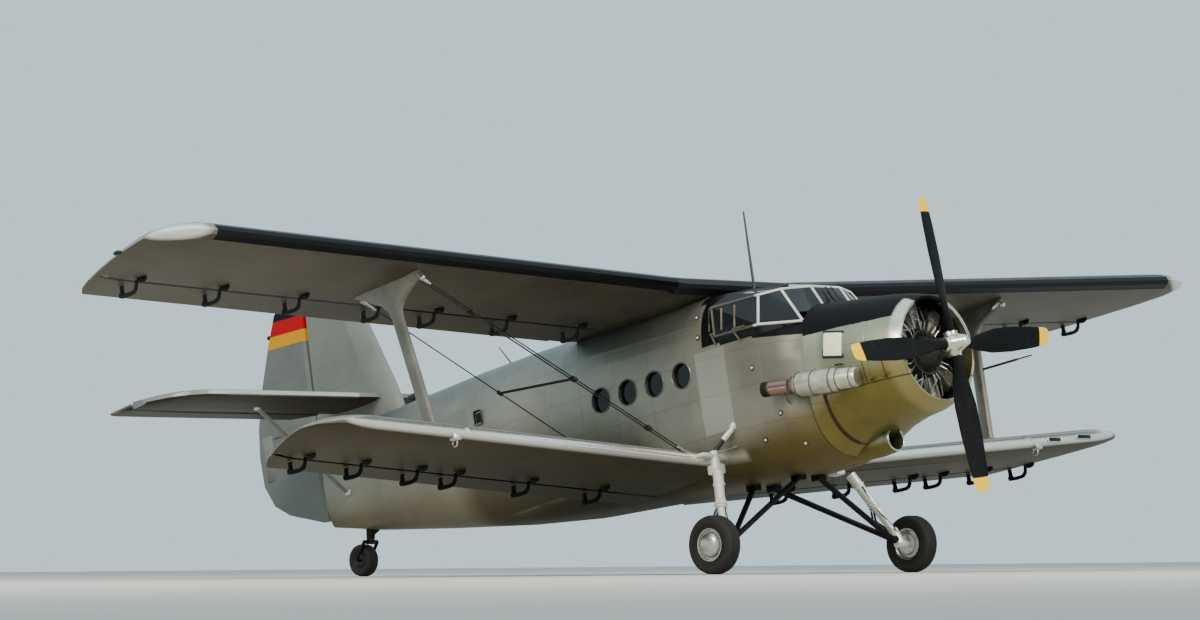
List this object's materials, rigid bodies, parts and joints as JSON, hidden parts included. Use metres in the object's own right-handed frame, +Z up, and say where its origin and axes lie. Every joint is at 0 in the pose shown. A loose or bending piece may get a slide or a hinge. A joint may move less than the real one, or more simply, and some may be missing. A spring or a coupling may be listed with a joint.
{
  "type": "utility biplane",
  "caption": "Single-engined utility biplane with radial engine, tailwheel landing gear, hollow cabin, turning propeller, moving control surfaces and opening doors.",
  "frame": {"origin": "On the floor, under the middle of the bounding box.", "axes": "+X to the nose, +Y to the port (left) wing tip, +Z up; the aircraft stands on its wheels, nose-up by 10.7 degrees."},
  "size_m": [12.8503, 18.1802, 4.4709],
  "materials": {
    "fuselage": "bare sheet metal",
    "doors": "bare sheet metal",
    "cowl": "bare sheet metal",
    "centre_section": "bare sheet metal",
    "upper_wing": "silver doped",
    "lower_wing": "silver doped",
    "slat": "satin",
    "tail": "silver doped",
    "rudder": "silver doped",
    "glass": "clear",
    "cockpit_frame": "satin",
    "interior": "matt",
    "engine": "cast",
    "exhaust": "heat-stained",
    "propeller_hub": "polished",
    "propeller_blade": "matt",
    "strut": "satin",
    "wire": "dull",
    "tyre": "matt",
    "wheel_hub": "polished",
    "leg": "satin",
    "black_steel": "satin",
    "antenna": "satin"
  },
  "bodies": {
    "airframe": {"fuselage_nose": "fuselage", "cabin_roof": "fuselage", "cabin_floor": "fuselage", "cabin_side_right": "fuselage", "cabin_side_left": "fuselage", "fuselage_tail": "fuselage", "cockpit_glass": "glass", "cockpit_frame": "cockpit_frame", "cockpit_interior": "interior", "centre_section": "centre_section", "engine": "engine", "engine_cowl": "cowl", "exhaust_pipe": "exhaust", "oil_cooler": "cowl", "tail_leg": "black_steel", "fin": "tail", "tailplane": "tail", "antenna": "antenna", "cabin_glass_right": "glass", "upper_wing_right": "upper_wing", "slat_right": "slat", "lower_wing_right": "lower_wing", "interplane_strut_right": "strut", "flying_wire_right": "wire", "rear_wire_right": "wire", "main_leg_right": "leg", "main_brace_right": "black_steel", "tail_strut_right": "strut", "cabin_glass_left": "glass", "upper_wing_left": "upper_wing", "slat_left": "slat", "lower_wing_left": "lower_wing", "interplane_strut_left": "strut", "flying_wire_left": "wire", "rear_wire_left": "wire", "main_leg_left": "leg", "main_brace_left": "black_steel", "tail_strut_left": "strut"},
    "propeller": {"propeller_hub": "propeller_hub", "propeller_blade_1": "propeller_blade", "propeller_blade_2": "propeller_blade", "propeller_blade_3": "propeller_blade", "propeller_blade_4": "propeller_blade"},
    "main_wheel_right": {"main_tyre_right": "tyre", "main_hub_right": "wheel_hub"},
    "main_wheel_left": {"main_tyre_left": "tyre", "main_hub_left": "wheel_hub"},
    "tail_fork": {"tail_fork": "black_steel"},
    "tail_wheel": {"tail_wheel": "tyre"},
    "rudder": {"rudder": "rudder"},
    "elevator_right": {"elevator_right": "tail"},
    "elevator_left": {"elevator_left": "tail"},
    "aileron_right": {"aileron_right": "upper_wing"},
    "aileron_left": {"aileron_left": "upper_wing"},
    "upper_flap_right": {"upper_flap_right": "upper_wing"},
    "upper_flap_left": {"upper_flap_left": "upper_wing"},
    "lower_flap_right": {"lower_flap_right": "lower_wing"},
    "lower_flap_left": {"lower_flap_left": "lower_wing"},
    "cargo_door": {"cargo_door": "doors"},
    "passenger_door": {"passenger_door": "doors"}
  },
  "joints": [
    {"name": "propeller_spin", "type": "hinge", "parent": "airframe", "child": "propeller", "pos_m": [6.0781, 0, 2.70327], "axis": [0.9826, 0, 0.1857], "continuous": true},
    {"name": "main_wheel_right_spin", "type": "hinge", "parent": "airframe", "child": "main_wheel_right", "pos_m": [3.82803, -1.76, 0.352], "axis": [0, 1, 0], "continuous": true},
    {"name": "main_wheel_left_spin", "type": "hinge", "parent": "airframe", "child": "main_wheel_left", "pos_m": [3.82803, 1.76, 0.352], "axis": [0, 1, 0], "continuous": true},
    {"name": "tail_swivel", "type": "hinge", "parent": "airframe", "child": "tail_fork", "pos_m": [-4.186, 0, 0.485], "axis": [0, 0, 1], "continuous": true},
    {"name": "tail_wheel_spin", "type": "hinge", "parent": "tail_fork", "child": "tail_wheel", "pos_m": [-4.32695, 0, 0.213], "axis": [0, 1, 0], "continuous": true},
    {"name": "rudder_hinge", "type": "hinge", "parent": "airframe", "child": "rudder", "pos_m": [-5.17547, 0, 1.6821], "axis": [-0.1857, 0, 0.9826], "range_deg": [-28, 28]},
    {"name": "elevator_right_hinge", "type": "hinge", "parent": "airframe", "child": "elevator_right", "pos_m": [-4.88159, 0, 2.20578], "axis": [0, 1, 0], "range_deg": [-22.5, 42]},
    {"name": "elevator_left_hinge", "type": "hinge", "parent": "airframe", "child": "elevator_left", "pos_m": [-4.88159, 0, 2.20578], "axis": [0, 1, 0], "range_deg": [-22.5, 42]},
    {"name": "aileron_right_hinge", "type": "hinge", "parent": "airframe", "child": "aileron_right", "pos_m": [0.83045, -4.66057, 3.06471], "axis": [0.0092, 0.9988, -0.0487], "range_deg": [-14, 30]},
    {"name": "upper_flap_right_hinge", "type": "hinge", "parent": "airframe", "child": "upper_flap_right", "pos_m": [0.86084, -1.36057, 2.90388], "axis": [-0.0092, -0.9988, 0.0487], "range_deg": [0, 40]},
    {"name": "lower_flap_right_hinge", "type": "hinge", "parent": "airframe", "child": "lower_flap_right", "pos_m": [1.53827, -1.67338, 0.8932], "axis": [-0.0136, -0.9973, 0.0719], "range_deg": [0, 40]},
    {"name": "aileron_left_hinge", "type": "hinge", "parent": "airframe", "child": "aileron_left", "pos_m": [0.83045, 4.66057, 3.06471], "axis": [-0.0092, 0.9988, 0.0487], "range_deg": [-14, 30]},
    {"name": "upper_flap_left_hinge", "type": "hinge", "parent": "airframe", "child": "upper_flap_left", "pos_m": [0.86084, 1.36057, 2.90388], "axis": [0.0092, -0.9988, -0.0487], "range_deg": [0, 40]},
    {"name": "lower_flap_left_hinge", "type": "hinge", "parent": "airframe", "child": "lower_flap_left", "pos_m": [1.53827, 1.67338, 0.8932], "axis": [0.0136, -0.9973, -0.0719], "range_deg": [0, 40]},
    {"name": "cargo_door_hinge", "type": "hinge", "parent": "airframe", "child": "cargo_door", "pos_m": [-0.88972, 0.852, 2.21407], "axis": [0.9823, 0.0237, 0.1856], "range_deg": [0, 90]},
    {"name": "passenger_door_hinge", "type": "hinge", "parent": "cargo_door", "child": "passenger_door", "pos_m": [0.26754, 0.768, 1.08226], "axis": [-0.1857, 0, 0.9826], "range_deg": [0, 85]}
  ],
  "couplings": [
    {"joint": "elevator_left_hinge", "follows": "elevator_right_hinge", "ratio": 1},
    {"joint": "upper_flap_left_hinge", "follows": "upper_flap_right_hinge", "ratio": 1},
    {"joint": "lower_flap_right_hinge", "follows": "upper_flap_right_hinge", "ratio": 1},
    {"joint": "lower_flap_left_hinge", "follows": "upper_flap_right_hinge", "ratio": 1}
  ]
}
